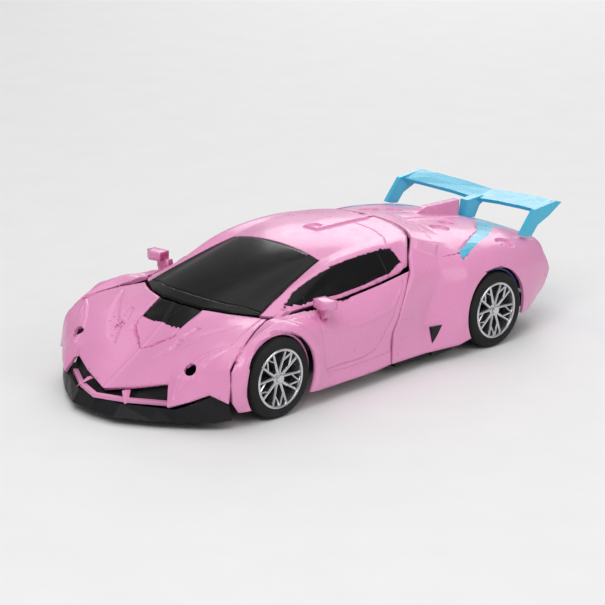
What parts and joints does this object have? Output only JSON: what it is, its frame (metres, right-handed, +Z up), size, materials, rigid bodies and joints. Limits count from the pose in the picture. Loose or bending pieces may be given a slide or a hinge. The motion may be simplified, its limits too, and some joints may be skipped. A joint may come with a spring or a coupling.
{
  "type": "transforming robot car",
  "caption": "Toy supercar whose body unfolds into a standing robot: hinged cabin, levelling nose, pop-up head, swing-out side panels and rolling wheels.",
  "frame": {"origin": "on the ground, under the middle of the car's length and width, in car mode", "axes": "X across the car with its left side at +X, nose towards -Y, Z up"},
  "size_m": [0.124, 0.2695, 0.061],
  "materials": {
    "body_pink": "pink, glossy moulded plastic",
    "magenta": "magenta painted plastic",
    "window_black": "mirror-gloss black",
    "trim_black": "satin black",
    "sky_blue": "sky blue plastic",
    "deep_blue": "dark blue plastic",
    "silver_paint": "silver painted plastic",
    "gold_paint": "gold painted plastic",
    "tyre": "soft black rubber with a tread",
    "rim_silver": "vacuum-plated silver",
    "steel": "plain steel",
    "gear_white": "off-white acetal",
    "board_green": "printed circuit board",
    "battery_wrap": "blue shrink wrap"
  },
  "bodies": {
    "chassis": {"chassis_tub": "trim_black", "side_frames": "trim_black", "chassis_screws": "steel", "battery_cover": "trim_black", "battery_pack": "battery_wrap", "engine_block": "trim_black", "foot_blocks": "trim_black", "main_pins": "steel", "circuit_board": "board_green", "lift_gearbox": "trim_black", "drive_motor": "steel", "diffuser": "trim_black", "arch_liners": "deep_blue", "rear_deck": "body_pink", "rear_quarter_left": "body_pink", "rear_quarter_right": "body_pink", "wing_base": "sky_blue", "rear_wing": "sky_blue", "tail_panel": "body_pink"},
    "switch": {"power_switch": "trim_black"},
    "rear_axle": {"rear_axle": "steel", "drive_gear": "gear_white", "rear_rims": "rim_silver", "rear_tyres": "tyre"},
    "pinion": {"motor_pinion": "gear_white"},
    "torso": {"torso_frame": "trim_black", "torso_core": "trim_black", "shell_posts": "body_pink", "roof_shell": "body_pink", "windshield": "window_black", "side_windows": "window_black", "chest_plate": "magenta", "chest_core": "silver_paint", "waist_plate": "magenta", "waist_core": "silver_paint", "thighs": "trim_black", "leg_inserts": "silver_paint", "shins": "magenta"},
    "carriage": {"carriage_frame": "trim_black", "shoulder_pins": "steel", "front_cover": "body_pink", "front_splitter": "trim_black", "grille_panel": "trim_black", "grille_frame": "body_pink"},
    "neck": {"neck_post": "trim_black"},
    "head": {"hood_flap": "body_pink", "cowl_insert": "window_black", "robot_head": "trim_black", "head_trim": "gold_paint"},
    "arm_left": {"arm_bar_left": "trim_black"},
    "arm_right": {"arm_bar_right": "trim_black"},
    "panel_left": {"door_panel_left": "body_pink", "wheel_liner_left": "body_pink"},
    "panel_right": {"door_panel_right": "body_pink", "wheel_liner_right": "body_pink"},
    "front_wheel_left": {"front_rim_left": "rim_silver", "front_tyre_left": "tyre"},
    "front_wheel_right": {"front_rim_right": "rim_silver", "front_tyre_right": "tyre"}
  },
  "joints": [
    {"name": "transform", "type": "hinge", "parent": "chassis", "child": "torso", "pos_m": [0, 0.052, 0.05], "axis": [-1, 0, 0], "range_deg": [0, 90]},
    {"name": "front_level", "type": "hinge", "parent": "torso", "child": "carriage", "pos_m": [0, -0.0745, 0.0185], "axis": [1, 0, 0], "range_deg": [0, 90]},
    {"name": "neck_rise", "type": "slide", "parent": "carriage", "child": "neck", "axis": [0, 0, 1], "range_m": [0, 0.012]},
    {"name": "head_flip", "type": "hinge", "parent": "neck", "child": "head", "pos_m": [0, -0.0775, 0.0365], "axis": [-1, 0, 0], "range_deg": [0, 123]},
    {"name": "left_arm_extend", "type": "slide", "parent": "carriage", "child": "arm_left", "axis": [1, 0, 0], "range_m": [0, 0.022]},
    {"name": "right_arm_extend", "type": "slide", "parent": "carriage", "child": "arm_right", "axis": [-1, 0, 0], "range_m": [0, 0.022]},
    {"name": "left_arm_swing", "type": "hinge", "parent": "arm_left", "child": "panel_left", "pos_m": [0.043, -0.0985, 0], "axis": [0, 0, -1], "range_deg": [0, 90]},
    {"name": "right_arm_swing", "type": "hinge", "parent": "arm_right", "child": "panel_right", "pos_m": [-0.043, -0.0985, 0], "axis": [0, 0, 1], "range_deg": [0, 90]},
    {"name": "front_left_wheel", "type": "hinge", "parent": "panel_left", "child": "front_wheel_left", "pos_m": [0, -0.0745, 0.0185], "axis": [1, 0, 0], "continuous": true},
    {"name": "front_right_wheel", "type": "hinge", "parent": "panel_right", "child": "front_wheel_right", "pos_m": [0, -0.0745, 0.0185], "axis": [1, 0, 0], "continuous": true},
    {"name": "rear_wheels", "type": "hinge", "parent": "chassis", "child": "rear_axle", "pos_m": [0, 0.0705, 0.0185], "axis": [1, 0, 0], "continuous": true},
    {"name": "pinion_spin", "type": "hinge", "parent": "chassis", "child": "pinion", "pos_m": [0, 0.0843, 0.0185], "axis": [1, 0, 0], "continuous": true},
    {"name": "switch_slide", "type": "slide", "parent": "chassis", "child": "switch", "axis": [0, 1, 0], "range_m": [0, 0.003]}
  ],
  "couplings": [
    {"joint": "front_level", "follows": "transform", "ratio": 1},
    {"joint": "neck_rise", "follows": "transform", "m_per_rad": 0.0076394},
    {"joint": "head_flip", "follows": "transform", "ratio": 1.3667},
    {"joint": "left_arm_extend", "follows": "left_arm_swing", "m_per_rad": 0.014006},
    {"joint": "right_arm_extend", "follows": "right_arm_swing", "m_per_rad": 0.014006},
    {"joint": "pinion_spin", "follows": "rear_wheels", "ratio": -2.4}
  ]
}
